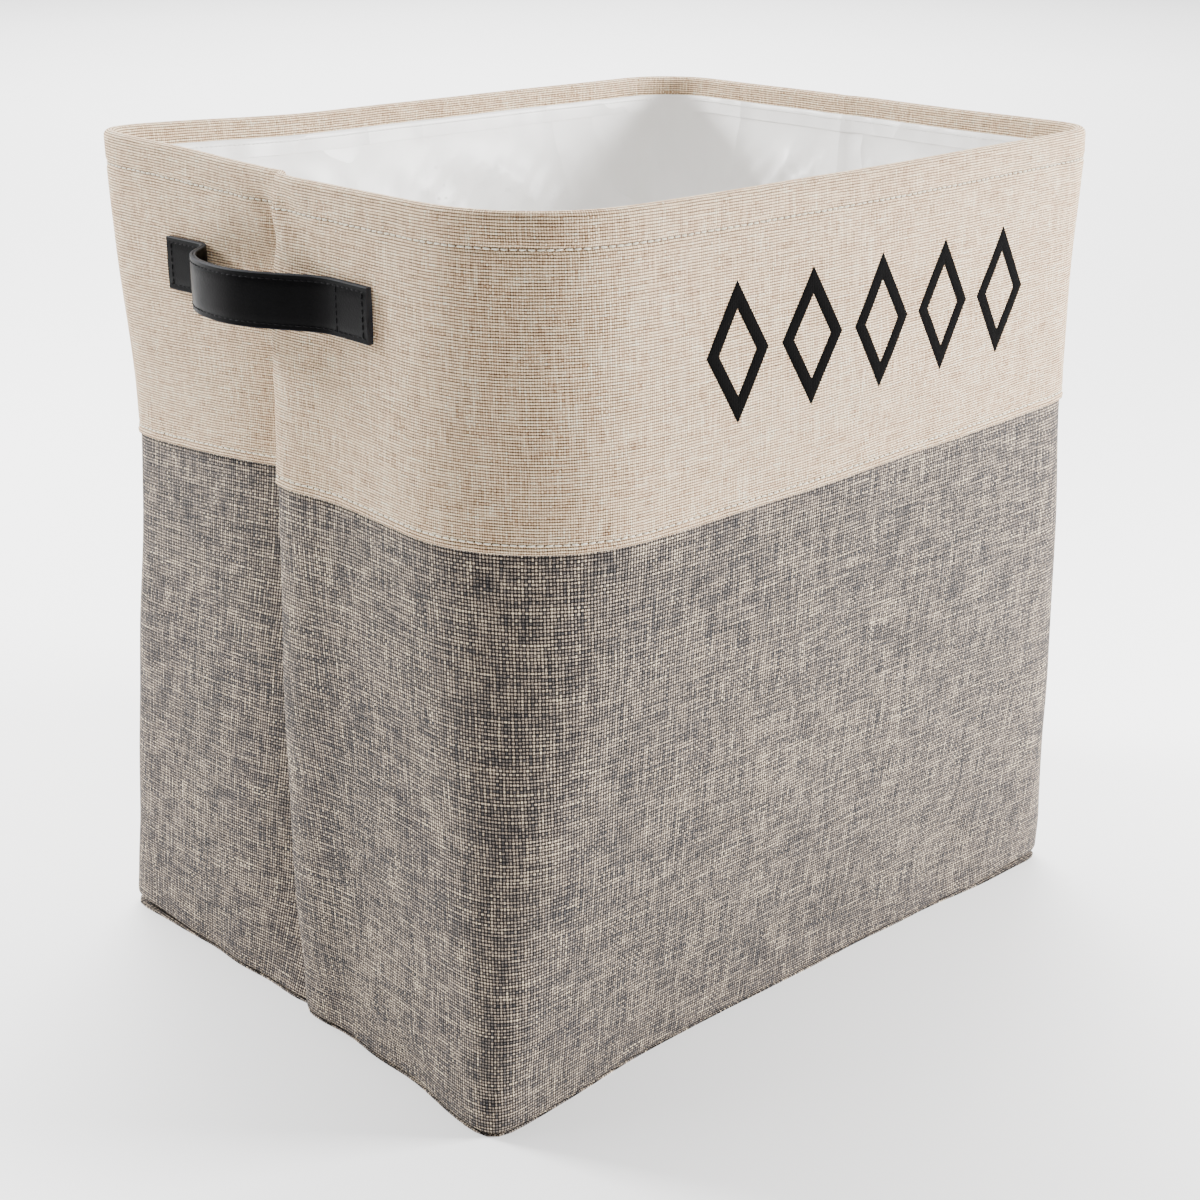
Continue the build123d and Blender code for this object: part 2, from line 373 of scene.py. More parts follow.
def tube(path, radius, sides=6):
    """Vertices and faces of a closed tube; radius is one number or one for each point."""
    path = np.asarray(path, float)
    radius = np.broadcast_to(radius, len(path))
    direction = np.gradient(path, axis=0)
    direction /= np.linalg.norm(direction, axis=1)[:, None] + 1e-12
    ref = np.array([0, 0, 1.0]) if abs(direction[0, 2]) < 0.9 else np.array([1.0, 0, 0])
    side = np.cross(direction, ref)
    side /= np.linalg.norm(side, axis=1)[:, None] + 1e-12
    up = np.cross(side, direction)
    turns = np.arange(sides) * 2 * math.pi / sides
    ring = np.cos(turns)[None, :, None] * side[:, None] + np.sin(turns)[None, :, None] * up[:, None]
    verts = (path[:, None] + ring * radius[:, None, None]).reshape(-1, 3)
    faces = []
    for r in range(len(path) - 1):
        for c in range(sides):
            a, b = r * sides + c, r * sides + (c + 1) % sides
            faces.append((a, a + sides, b + sides, b))
    last = (len(path) - 1) * sides
    faces.append(tuple(range(sides)))
    faces.append(tuple(last + c for c in reversed(range(sides))))
    return verts, faces


def join_parts(name, parts, sharp=70):
    """One mesh object from several (points, faces)."""
    verts, faces, base = [], [], 0
    for v, f in parts:
        verts.append(v)
        faces += [tuple(i + base for i in face) for face in f]
        base += len(v)
    return make_mesh(name, np.concatenate(verts), faces, sharp=sharp)


def resample(path, normals, spacing):
    """Evenly spaced points and normals on a polyline."""
    s = np.concatenate([[0], np.cumsum(np.linalg.norm(np.diff(path, axis=0), axis=1))])
    t = np.arange(0, s[-1] + 1e-6, spacing)
    return [np.column_stack([np.interp(t, s, values[:, i]) for i in range(3)]) for values in (path, normals)]


STITCH_STEP = 0.2
# The dark plugs that paint the shade in each needle hole: how deep they sink, and how far they rise above the
# cloth
HOLE_DEPTH, HOLE_RISE = 0.3, 0.12


def stitches(name, path, normals, pitch, length, radius, seed, hole=0.0):
    """A row of separate thread stitches on a surface, with dark plugs between them that paint the shade in
    the needle's holes.
    """
    rng = random.Random(seed)
    fine, up = resample(path, normals, STITCH_STEP)
    per, span = int(round(pitch / STITCH_STEP)), int(round(length / STITCH_STEP))
    parts, holes = [], []
    for start in range(0, len(fine) - span, per):
        start = min(start + rng.choice((0, 0, 1)), len(fine) - span - 1)
        pick = start + np.linspace(0, span, 6).astype(int)
        t = np.linspace(0, 1, 6)
        arch = np.sin(math.pi * t)
        high = radius * (1.25 * arch - 0.75) + rng.uniform(-0.06, 0.06)
        centre = fine[pick] + up[pick] * high[:, None]
        centre[:, 2] += rng.uniform(-0.16, 0.16) * (t - 0.5) * 2
        parts.append(tube(centre, radius * (0.6 + 0.4 * arch) * rng.uniform(0.9, 1.1)))
        if hole:
            # a dark plug that paints the shade in the needle's hole
            gap = min(pick[-1] + (per - span) // 2, len(fine) - 1)
            foot = fine[gap] - up[gap] * HOLE_DEPTH
            line = np.array([foot, foot + up[gap] * (HOLE_DEPTH + HOLE_RISE)])
            holes.append(tube(line, hole * rng.uniform(0.8, 1.15), 7))
    obj = join_parts(name, parts + holes)
    if hole:
        thread_faces = sum(len(f) for _, f in parts)
        obj.data.materials.append(MATERIALS["cream_thread"])
        obj.data.materials.append(MATERIALS["needle_hole_shade"])
        index = [0] * thread_faces + [1] * (len(obj.data.polygons) - thread_faces)
        obj.data.polygons.foreach_set("material_index", index)
    return obj


# --- Materials ---
class Nodes:
    """A material's node tree, with short helpers for the arithmetic that the weaves need."""

    def __init__(self, name):
        self.material = bpy.data.materials.new(name)
        self.material.use_nodes = True
        self.tree = self.material.node_tree
        self.shader = self.tree.nodes["Principled BSDF"]

    def add(self, kind, inputs=None, **settings):
        node = self.tree.nodes.new(kind)
        for key, value in settings.items():
            setattr(node, key, value)
        for key, value in (inputs or {}).items():
            self.feed(node.inputs[key], value)
        return node

    def feed(self, socket, value):
        if isinstance(value, bpy.types.NodeSocket):
            self.tree.links.new(value, socket)
        else:
            socket.default_value = value

    def math(self, operation, a, b=None, c=None):
        values = {i: v for i, v in enumerate((a, b, c)) if v is not None}
        return self.add("ShaderNodeMath", values, operation=operation).outputs[0]

    def vector(self, x, y, z=0.0):
        return self.add("ShaderNodeCombineXYZ", {0: x, 1: y, 2: z}).outputs[0]

    def noise(self, vector, scale, detail=2.0, rough=0.5):
        inputs = {"Vector": vector, "Scale": scale, "Detail": detail, "Roughness": rough}
        return self.add("ShaderNodeTexNoise", inputs).outputs[0]

    def ramp(self, factor, stops):
        node = self.add("ShaderNodeValToRGB", {0: factor})
        elements = node.color_ramp.elements
        while len(elements) < len(stops):
            elements.new(0.5)
        for element, (position, colour) in zip(elements, stops):
            element.position = position
            element.color = (*colour, 1.0)
        return node.outputs[0]

    def mix(self, factor, a, b, blend="MIX"):
        node = self.add("ShaderNodeMix", data_type="RGBA", blend_type=blend)
        self.feed(node.inputs[0], factor)
        self.feed(node.inputs[6], a)
        self.feed(node.inputs[7], b)
        return node.outputs[2]

    def bump(self, height, strength, distance, normal=None):
        inputs = {"Height": height, "Strength": strength, "Distance": distance}
        if normal is not None:
            inputs["Normal"] = normal
        return self.add("ShaderNodeBump", inputs).outputs[0]

    def set(self, **values):
        for key, value in values.items():
            self.feed(self.shader.inputs[key.replace("_", " ")], value)

    def uv(self):
        place = self.add("ShaderNodeUVMap", uv_map="weave").outputs[0]
        split = self.add("ShaderNodeSeparateXYZ", {0: place})
        return split.outputs[0], split.outputs[1]


def weave(n, pitch_u, pitch_v, wander, rib=0.0):
    """A plain weave: the place on the cloth, its height there, and its yarns.

    The yarns are given as distances counted in yarns, whole numbers of the two yarns that cross, and
    1 where the upright one is on top. wander bends the yarns, and rib raises the weave's rows.
    """
    u, v = n.uv()
    flow = n.vector(u, v)
    drift = n.math("SUBTRACT", n.noise(flow, 70.0, 3.0), 0.5)
    drift_2 = n.math("SUBTRACT", n.noise(flow, 45.0, 2.0, 0.6), 0.5)
    a = n.math("MULTIPLY_ADD", u, 1 / (pitch_u * MM), n.math("MULTIPLY", drift, wander))
    b = n.math("MULTIPLY_ADD", v, 1 / (pitch_v * MM), n.math("MULTIPLY", drift_2, wander))
    warp, weft = n.math("FLOOR", a), n.math("FLOOR", b)
    across = n.math("SINE", n.math("MULTIPLY", n.math("FRACT", a), math.pi))
    upward = n.math("SINE", n.math("MULTIPLY", n.math("FRACT", b), math.pi))
    over = n.math("GREATER_THAN", n.math("PINGPONG", n.math("ADD", warp, weft), 1.0), 0.5)
    warp_high = n.math("MULTIPLY", across, n.math("MULTIPLY_ADD", upward, 0.5, 0.5))
    weft_high = n.math("MULTIPLY", upward, n.math("MULTIPLY_ADD", across, 0.5, 0.5))
    high = n.math("ADD", n.math("MULTIPLY", over, warp_high),
                  n.math("MULTIPLY", n.math("SUBTRACT", 1.0, over), weft_high))
    high = n.math("MULTIPLY_ADD", upward, rib, n.math("MULTIPLY", high, 1.0 - rib))
    return u, v, high, (a, b, warp, weft, over)


def yarn_shade(n, yarns, run):
    """A value from 0 to 1 that differs from yarn to yarn and changes slowly along each one."""
    a, b, warp, weft, over = yarns
    along_warp = n.vector(n.math("MULTIPLY", warp, 5.31), n.math("MULTIPLY", b, run), 3.0)
    along_weft = n.vector(n.math("MULTIPLY", a, run), n.math("MULTIPLY", weft, 5.31), 11.0)
    warp_shade = n.noise(along_warp, 1.0, 3.0, 0.65)
    weft_shade = n.noise(along_weft, 1.0, 3.0, 0.65)
    return n.math("ADD", n.math("MULTIPLY", over, warp_shade),
                  n.math("MULTIPLY", n.math("SUBTRACT", 1.0, over), weft_shade))


def stretched(n, u, v, scale_u, scale_v, detail=3.0):
    """Noise with its own scale along each yarn direction, which draws it out into streaks."""
    place = n.vector(n.math("MULTIPLY", u, scale_u), n.math("MULTIPLY", v, scale_v))
    return n.noise(place, 1.0, detail, 0.6)


YARN_WANDER = 0.6
SLUB_MEAN = 0.56


def linen(name, tones, gap_shade, pitch, rib, run, slub, relief, sheen):
    """A woven cloth. tones run from its darkest yarn to its lightest; the gap colours paint shade into the
    weave, darkest in the holes between the yarns and none on their tops.
    """
    n = Nodes(name)
    u, v, high, yarns = weave(n, *pitch, YARN_WANDER, rib)
    shade = yarn_shade(n, yarns, run)
    slubs = n.math("MAXIMUM", stretched(n, u, v, 60, 900), stretched(n, u, v, 900, 60))
    slubs = n.math("SUBTRACT", slubs, SLUB_MEAN)
    broad = n.noise(n.vector(u, v, 4.0), 11.0, 4.0, 0.6)
    value = n.math("ADD", shade, n.math("MULTIPLY", slubs, slub))
    value = n.math("ADD", value, n.math("MULTIPLY", n.math("SUBTRACT", broad, 0.5), 0.12))
    thick = n.math("MULTIPLY_ADD", slubs, 0.8, high)
    # The second ramp paints shade into the weave: darkest in the holes between the yarns, none on their tops.
    colour = n.mix(1.0, n.ramp(value, tones), n.ramp(thick, gap_shade), "MULTIPLY")
    n.set(Base_Color=colour, Roughness=0.9, Sheen_Weight=sheen, Sheen_Roughness=0.5, Specular_IOR_Level=0.15)
    n.set(Normal=n.bump(thick, relief, 0.0006))
    return n.material


def beige_linen():
    tones = [(0.27, (0.52, 0.33, 0.19)), (0.40, (0.79, 0.57, 0.37)),
             (0.54, (0.96, 0.75, 0.51)), (0.68, (1.0, 0.90, 0.70))]
    # gap colours: painted shade in the holes between the yarns, clear on their tops
    gap_shade = [(0.18, (0.03, 0.016, 0.01)), (0.46, (0.50, 0.41, 0.34)), (0.70, (1.0, 1.0, 1.0))]
    return linen("beige_linen", tones, gap_shade, (1.05, 1.2), 0.35, 0.10, 0.42, 0.8, 0.1)


def grey_melange():
    tones = [(0.32, (0.085, 0.08, 0.082)), (0.45, (0.22, 0.187, 0.165)),
             (0.55, (0.52, 0.42, 0.33)), (0.70, (0.98, 0.83, 0.60))]
    # gap colours: painted shade in the holes between the yarns, clear on their tops
    gap_shade = [(0.20, (0.008, 0.007, 0.008)), (0.48, (0.14, 0.12, 0.115)), (0.78, (1.0, 1.0, 1.0))]
    return linen("grey_melange", tones, gap_shade, (1.45, 1.5), 0.0, 0.06, 0.5, 1.0, 0.08)


def print_film():
    """Black film pressed into the linen, so the weave still shows in its gloss."""
    n = Nodes("print_film")
    u, v, high, _ = weave(n, 1.05, 1.15, YARN_WANDER)
    worn = stretched(n, u, v, 700, 700, 4.0)
    colour = n.ramp(worn, [(0.30, (0.0008, 0.0007, 0.0007)), (0.66, (0.0014, 0.0012, 0.0012)),
                           (0.82, (0.016, 0.013, 0.011))])
    rough = n.math("MULTIPLY_ADD", worn, 0.25, 0.42)
    n.set(Base_Color=colour, Roughness=rough, Specular_IOR_Level=0.015, Normal=n.bump(high, 0.35, 0.0003))
    return n.material


def liner_film():
    """Thin white coated lining: faintly woven underneath, with a soft shine and fine creases."""
    n = Nodes("liner_film")
    u, v, high, _ = weave(n, 0.6, 0.6, YARN_WANDER / 2)
    cloud = n.noise(n.vector(u, v, 1.0), 14.0, 4.0)
    crease = stretched(n, u, v, 11, 7, 2.0)
    crease = n.math("SUBTRACT", 1.0, n.math("ABSOLUTE", n.math("MULTIPLY_ADD", crease, 6.0, -3.0)))
    crease = n.math("POWER", n.math("MAXIMUM", crease, 0.0), 1.6)
    colour = n.ramp(cloud, [(0.3, (0.82, 0.805, 0.785)), (0.7, (0.92, 0.91, 0.89))])
    rough = n.math("MULTIPLY_ADD", cloud, 0.25, 0.24)
    n.set(Base_Color=colour, Roughness=rough, Specular_IOR_Level=0.5)
    fine = n.bump(high, 0.12, 0.0002)
    n.set(Normal=n.bump(crease, 0.45, 0.005, fine))
    return n.material


def object_point(n):
    return n.add("ShaderNodeTexCoord").outputs["Object"]


def leather(name, tone, rough_low):
    """Smooth black faux leather with a fine grain, or the duller edge where it is cut."""
    n = Nodes(name)
    place = object_point(n)
    grain = n.add("ShaderNodeTexVoronoi", {"Vector": place, "Scale": 1500.0}, feature="SMOOTH_F1").outputs[0]
    broad = n.noise(place, 90.0, 4.0)
    low, high = tuple(c * 0.8 for c in tone), tuple(c * 1.5 for c in tone)
    n.set(Base_Color=n.ramp(broad, [(0.3, low), (0.75, high)]))
    n.set(Roughness=n.math("MULTIPLY_ADD", broad, 0.22, rough_low), Specular_IOR_Level=0.045)
    height = n.math("ADD", n.math("MULTIPLY", grain, 0.6), n.math("MULTIPLY", broad, 0.5))
    n.set(Normal=n.bump(height, 0.25, 0.0003))
    return n.material


def thread(name, tone, dark):
    """Twisted thread: fine slanting ridges, a little lighter on top, with painted shade in the grooves
    between them.
    """
    n = Nodes(name)
    place = object_point(n)
    waves = {"Vector": place, "Scale": 900.0, "Distortion": 2.0}
    twist = n.add("ShaderNodeTexWave", waves, bands_direction="DIAGONAL").outputs[1]
    fuzz = n.noise(place, 2500.0, 2.0)
    # The twist drives the colour as well as the bump: painted shade in the grooves between the ridges, with
    # random fuzz on top.
    shade = n.math("MULTIPLY_ADD", fuzz, 0.4, n.math("MULTIPLY", twist, 0.5))
    n.set(Base_Color=n.ramp(shade, [(0.1, dark), (0.7, tone)]), Roughness=0.75, Specular_IOR_Level=0.1)
    n.set(Normal=n.bump(twist, 0.4, 0.0001))
    return n.material


def fibre(name, tone, dark, scale, rough=0.95, stretch=(1, 1, 1)):
    """Felt, board, tape or cord: pressed fibres with darker flecks."""
    n = Nodes(name)
    place = n.add("ShaderNodeMapping", {"Vector": object_point(n), "Scale": stretch}).outputs[0]
    fine = n.noise(place, scale, 5.0, 0.7)
    broad = n.noise(place, scale / 14, 3.0)
    shade = n.math("MULTIPLY_ADD", broad, 0.5, n.math("MULTIPLY", fine, 0.6))
    n.set(Base_Color=n.ramp(shade, [(0.35, dark), (0.62, tone)]), Roughness=rough)
    n.set(Normal=n.bump(fine, 0.5, 0.0006))
    return n.material


MATERIALS = {
    "beige_linen": beige_linen(),
    "grey_melange": grey_melange(),
    "liner_film": liner_film(),
    "print_film": print_film(),
    "cream_thread": thread("cream_thread", (1.0, 0.96, 0.82), (0.70, 0.60, 0.44)),
    "black_thread": thread("black_thread", (0.006, 0.006, 0.007), (0.001, 0.001, 0.001)),
    "black_leather": leather("black_leather", (0.0012, 0.0012, 0.0014), 0.30),
    "cut_edge": leather("cut_edge", (0.024, 0.025, 0.028), 0.5),
    "chipboard": fibre("chipboard", (0.44, 0.38, 0.31), (0.30, 0.25, 0.20), 900.0),
    "felt": fibre("felt", (0.66, 0.64, 0.60), (0.45, 0.43, 0.40), 700.0),
    "tape": fibre("tape", (0.72, 0.70, 0.66), (0.50, 0.48, 0.44), 1400.0, 0.85, (1, 1, 3)),
    # needle holes: dark plugs that paint the shade inside each hole
    "needle_hole_shade": fibre("needle_hole_shade", (0.10, 0.065, 0.04), (0.05, 0.03, 0.02), 1500.0),
    "cord": fibre("cord", (0.74, 0.70, 0.62), (0.50, 0.45, 0.38), 1200.0),
}
SLOTS = {s["node"]: s["material_slot"] for s in frame["record"]["subparts"]}


def finish_piece(obj, *nodes):
    """Gives a piece the finish of the CAD nodes that it stands for, and hides those."""
    slot = SLOTS[nodes[0]]
    if not obj.data.materials:
        obj.data.materials.append(MATERIALS[slot])
    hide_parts(*nodes)
    return obj


# --- The cloth pieces, a quarter at a time: each bends round one corner ---
SIDE_BODY = {"front": "front", "rear": "back"}


def bend(obj):
    """Bakes the piece's placement into its mesh, where it stays as built."""
    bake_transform(obj)


ROLL = 2.9  # radius of the rolled rim
FACING_BOTTOM = HEIGHT - 25.0
LINER_FOOT = 6.1
LINER_HEM = 0.6  # half the gap between the lining and its hem


def band_path():
    """Up the outside of the band, over the rolled rim and down the facing inside."""
    lip = [(0.2, HEM_Z), (-0.35, HEM_Z + 0.5), (-0.5, HEM_Z + 1.6), (-0.2, HEM_Z + 2.9)]
    up = lip + straight(0, HEM_STITCH_Z, TOPSTITCH_Z - 6, 2.6)
    up += straight(0, TOPSTITCH_Z - 5, TOPSTITCH_Z + 5, 1.0)
    up += straight(0, TOPSTITCH_Z + 7, HEIGHT - ROLL - 2, 2.0)
    turn = np.linspace(0, math.pi, 11)
    over = [(ROLL - ROLL * math.cos(a), HEIGHT - ROLL + ROLL * math.sin(a)) for a in turn]
    return up + over + straight(2 * ROLL, HEIGHT - ROLL - 2, FACING_BOTTOM, 2.5)


def shell_path():
    """In from under the base, round the foot and up the wall to behind the band."""
    under = [(9.0, 0.9), (5.0, 0.9), (2.8, 1.1), (1.7, 1.9), (1.15, 3.2), (SHELL_INSET, 5.0)]
    return under + straight(SHELL_INSET, 7.5, SHELL_TOP, 3.2)


def liner_path():
    """The lining: up the wall, folded over at the top and down its own hem."""
    rise = straight(LINER_INSET, LINER_FOOT, LINER_TOP - 14, 3.4)
    rise += straight(LINER_INSET, LINER_TOP - 12, LINER_TOP - 1, 2)
    turn = [(LINER_HEM * math.cos(a), LINER_HEM * math.sin(a)) for a in (0.4, 1.57, 2.7)]
    fold = [(LINER_INSET + LINER_HEM - x, LINER_TOP - LINER_HEM + z) for x, z in turn]
    return rise + fold + straight(LINER_INSET + 2 * LINER_HEM, LINER_TOP - 2, LINER_TOP - 9, 1.4)


# The lining's folds: spacing in mm, slant, where they start, and how far they stand off
LINER_FOLDS = ((47, 0.35, 0.3, 5.5), (31, -0.75, 1.9, 4.6), (19, 1.1, 4.1, 2.8), (83, -0.25, 2.2, 6.0),
               (13, -1.6, 0.9, 1.4))
FLAT_SHARE = 0.85  # of the folds, taken away beside the rear corners


def liner_wrinkles(cols, z):
    """The loose lining stands in folds off the wall.

    It is held flat at its hem, its foot and the end seams, and nearly flat beside the rear corners,
    where the end walls fold against the back.
    """
    _, _, along = surface(cols, z, 0)
    slack = smooth(LINER_TOP - 10, LINER_TOP - 45, z) * smooth(6, 45, z)
    ridge = 0
    for length, slope, shift, amount in LINER_FOLDS:
        phase = (along + slope * z) / length * math.pi + shift + 1.1 * np.sin(along / 61 + z / 47)
        patch = 0.5 + 0.5 * np.sin(along / (1.7 * length) - z / (1.3 * length) + 2 * shift)
        ridge = ridge + amount * patch * (1 - np.abs(np.sin(phase))) ** 2
    seam = np.abs((np.asarray(cols) + SAMPLES) % (2 * SAMPLES) - SAMPLES)
    rear = smooth(2 * SAMPLES, 2 * SAMPLES + 9, np.asarray(cols) % (4 * SAMPLES))
    corner = 1 - FLAT_SHARE * rear * bell(seam - 0.42 * SAMPLES, 0.16 * SAMPLES)
    return slack * ridge * smooth(0, 7, seam) * corner


def cloth():
    for q in QUARTERS:
        side = q.split("_")[1]
        cols = columns(q)
        band = wall_sheet("band_" + q, cols, band_path(), FABRIC)
        shell = wall_sheet("lower_shell_" + q, cols, shell_path(), FABRIC)
        liner = wall_sheet("liner_" + q, cols, liner_path(), LINING, liner_wrinkles)
        for obj, node in ((band, "band"), (shell, "lower_shell"), (liner, "liner")):
            finish_piece(obj, node + "_" + side)
            bend(obj)


# Each row of stitching: height, inset, the side it shows on, spacing, length, thread, needle hole
STITCH_ROWS = {
    "topstitch": (TOPSTITCH_Z, -0.1, 1, 3.6, 2.8, 0.42, 0.32),
    "hem_stitch": (HEM_STITCH_Z, -0.15, 1, 3.6, 2.8, 0.42, 0.32),
    "liner_stitch": (LINER_STITCH_Z, LINER_INSET + 2 * LINER_HEM + 0.35, -1, 2.6, 2.0, 0.26, 0.0),
}


def stitch_rows():
    """Rows of stitching round the wall. The lining's is in its own white."""
    for number, (row, (z, inset, out, pitch, length, radius, hole)) in enumerate(STITCH_ROWS.items()):
        for q in QUARTERS:
            cols = columns(q)
            path, normals, _ = surface(np.linspace(cols[0], cols[-1], 4 * SAMPLES + 1), z, inset)
            seed = 10 * number + QUARTERS.index(q)
            obj = stitches(row + "_" + q, path, normals * out, pitch, length, radius, seed, hole)
            if out < 0:
                obj.data.materials.append(MATERIALS["liner_film"])
            finish_piece(obj, row + "_" + q.split("_")[1])
            bend(obj)


RIM_CORD_RADIUS = 1.5


def rim_cords():
    """The filler cord in the rolled rim."""
    for q in QUARTERS:
        path, _, _ = surface(columns(q), HEIGHT - ROLL - 0.2, ROLL)
        obj = join_parts("rim_cord_" + q, [tube(path, RIM_CORD_RADIUS, 8)])
        finish_piece(obj, "rim_cord_" + q.split("_")[1])
        bend(obj)


BOARD_GAP = 0.006  # between a board and its neighbour, as a share of the quarter's length


def boards():
    """Stiffener boards inside the wall, and the felt that carries it round each corner."""
    path = straight(BOARD_INSET, BOARD_BOTTOM, BOARD_TOP, HIDDEN_STEP)
    for q in QUARTERS:
        spans = {
            q + "_board": (BOARD_GAP, FELT_START - BOARD_GAP),
            "corner_felt_" + q: (FELT_START, FELT_END[q]),
        }
        for node, shares in spans.items():
            ends = sorted(crease_share(q, s) for s in shares)
            cols = np.linspace(ends[0], ends[1], max(6, int((ends[1] - ends[0]) / 1.5)))
            obj = finish_piece(wall_sheet(node + "_look", cols, path, BOARD), node)
            if node.startswith("corner"):
                bend(obj)
            else:
                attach(obj, q)
    for side, left, right in (("front", "left_front", "right_front"), ("rear", "right_rear", "left_rear")):
        first = crease_share(left, FELT_END[left] + BOARD_GAP)
        last = crease_share(right, FELT_END[right] + BOARD_GAP)
        obj = wall_sheet(side + "_board_look", np.linspace(first, last, 60), path, BOARD)
        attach(finish_piece(obj, side + "_board"), SIDE_BODY[side])


TAPE_REACH = 2.3  # in columns, to each side of the seam


def seam_tapes():
    """Tape over the seam allowance inside each end wall, split along the crease."""
    path = straight(TAPE_INSET, BOARD_BOTTOM, FACING_BOTTOM - 2, HIDDEN_STEP)
    for q in QUARTERS:
        end = q.split("_")[0]
        middle = crease_share(q, 0)
        inward = TAPE_REACH if q in ("left_front", "right_rear") else -TAPE_REACH
        cols = np.linspace(*sorted((middle, middle + inward)), 4)
        obj = wall_sheet("seam_tape_" + q, cols, path, TAPE)
        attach(finish_piece(obj, "seam_tape_" + end), q)


PATCH_SPAN = (0.145, 0.235)  # shares of a quarter's length from the crease, as the tabs are placed


def handle_patches():
    """Reinforcement behind each handle tab."""
    path = straight(PATCH_INSET, STRAP_BOTTOM - 4, STRAP_TOP + 4, 4)
    for q in QUARTERS:
        ends = sorted(crease_share(q, s) for s in PATCH_SPAN)
        obj = wall_sheet("handle_patch_" + q + "_look", np.linspace(ends[0], ends[1], 10), path, PATCH)
        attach(finish_piece(obj, "handle_patch_" + q), q)


# --- The soft base, which rides on the back ---
WEAVE_MIDDLE = 600.0  # the base lies this far along the weave, where all its values are positive
FELT_INSET = 10.0
# Heights of the base's layers
BASE_CLOTH, BASE_FELT, LINER_FLOOR = (0.0, 0.8), (2.1, 5.4), (6.0, 6.5)


def disc(name, heights, inset, wrinkle=0.0):
    """A sheet across the whole plan, out to the wall less inset."""
    z0, z1 = heights
    cols = np.arange(0, 4 * SAMPLES, 2)
    rim, _, _ = surface(cols, max(z0, 0.5), inset)
    top, low = [], []
    for t in np.linspace(1, 0.04, 26):
        p = rim[:, :2] * t
        wave = np.sin(p[:, 0] / 19 + 2 * np.sin(p[:, 1] / 43)) * np.sin(p[:, 1] / 27 + 0.7)
        ripple = wrinkle * (wave + 1) / 2 * smooth(1.0, 0.9, t)
        top.append(np.column_stack([p, z1 + ripple]))
        low.append(np.column_stack([p, z0 + ripple]))
    verts = np.concatenate([np.concatenate(top), np.concatenate(low)])
    around, rings = len(cols), len(top)
    half = around * rings
    faces = []
    for r in range(rings - 1):
        for c in range(around):
            a, b = r * around + c, r * around + (c + 1) % around
            faces.append((a, b, b + around, a + around))
            faces.append((a + half, a + around + half, b + around + half, b + half))
    inner = (rings - 1) * around
    faces.append(tuple(inner + c for c in range(around)))
    faces.append(tuple(inner + half + around - 1 - c for c in range(around)))
    for c in range(around):
        d = (c + 1) % around
        faces.append((c, c + half, d + half, d))
    return make_mesh(name, verts, faces, verts[:, :2] + WEAVE_MIDDLE)


def felt_half(name, first, last):
    """One base felt; first and last are its edges, as shares of the depth from the front."""
    span = np.arange(int(SAMPLES * 0.75), int(SAMPLES * 1.25) + 1)
    front, _, _ = surface(span, BASE_FELT[0], FELT_INSET)
    rear, _, _ = surface(4 * SAMPLES - span, BASE_FELT[0], FELT_INSET)
    rows = np.linspace(first, last, 13)[:, None, None]
    plan = (front * (1 - rows) + rear * rows)[:, :, :2]
    low, top = (np.concatenate([plan, np.full(plan.shape[:2] + (1,), z)], axis=2) for z in BASE_FELT)
    return thick_sheet(name, top, low, plan + WEAVE_MIDDLE)


def base():
    sheets = [
        (disc("base_fabric_look", BASE_CLOTH, 1.6), "base_fabric"),
        (felt_half("base_felt_front_look", 0.0, 0.497), "base_felt_front"),
        (felt_half("base_felt_rear_look", 0.503, 1.0), "base_felt_rear"),
        (disc("liner_base_look", LINER_FLOOR, LINER_INSET + 0.2, 2.2), "liner_base"),
    ]
    binding_path = straight(BOARD_INSET, 2.2, BOARD_BOTTOM - 1, 2)
    for first, side in ((0, "front"), (2 * SAMPLES, "rear")):
        cols = np.arange(first, first + 2 * SAMPLES + 1)
        sheets.append((wall_sheet("base_binding_" + side, cols, binding_path, BINDING), "base_binding"))
    for obj, node in sheets:
        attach(finish_piece(obj, node), "back")
        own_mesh(obj)


# --- Handles ---
STRAP_WIDTH = STRAP_TOP - STRAP_BOTTOM - 0.8
STRAP_Z = (STRAP_TOP + STRAP_BOTTOM) / 2 + 2.8
PLY = 1.35
PLY_GAP = 0.06  # half the gap between the two plies
CROWN = 0.12  # how far the strap's face swells in the middle
EDGE_ROW = STRAP_WIDTH / 2 - 2.3  # height of the stitching beside each edge
# The strap seen from above: distance from the seam (rear to front) and stand-off from the wall
STRAP_LINE = [(76, 0), (70, 0), (63, 0), (56, 0), (50, 0.4), (45.5, 3.6), (41.5, 8.5), (37, 13.5), (30, 17.8),
              (21, 20.8), (9, 22), (-3, 21), (-14, 17.2), (-24, 11.8), (-33, 6.2), (-40, 2.3), (-47, 0.3),
              (-54, 0), (-61, 0), (-67, 0), (-73, 0)]
STRAP_FREE = 48.0  # the strap leaves the wall this far from the seam
FINE = 12  # points of the curve for each point of the line
# Where the rows of stitching cross each tab, in points of the curve from its end
TAB_ROWS = {"rear": (7, 42), "front": (-7, -40)}
TAB_STITCH = (3.3, 2.7, 0.3)  # spacing, length and thread radius
TAB_SEED = 70


def wall_x(y, z, end):
    """How far out the end wall stands at y and height z."""
    points, _, _ = wall(z)
    middle = 0 if end < 0 else 2 * SAMPLES
    pick = points[np.arange(middle - 40, middle + 41) % len(points)]
    order = np.argsort(pick[:, 1])
    return np.interp(y, pick[order, 1], np.abs(pick[order, 0]))


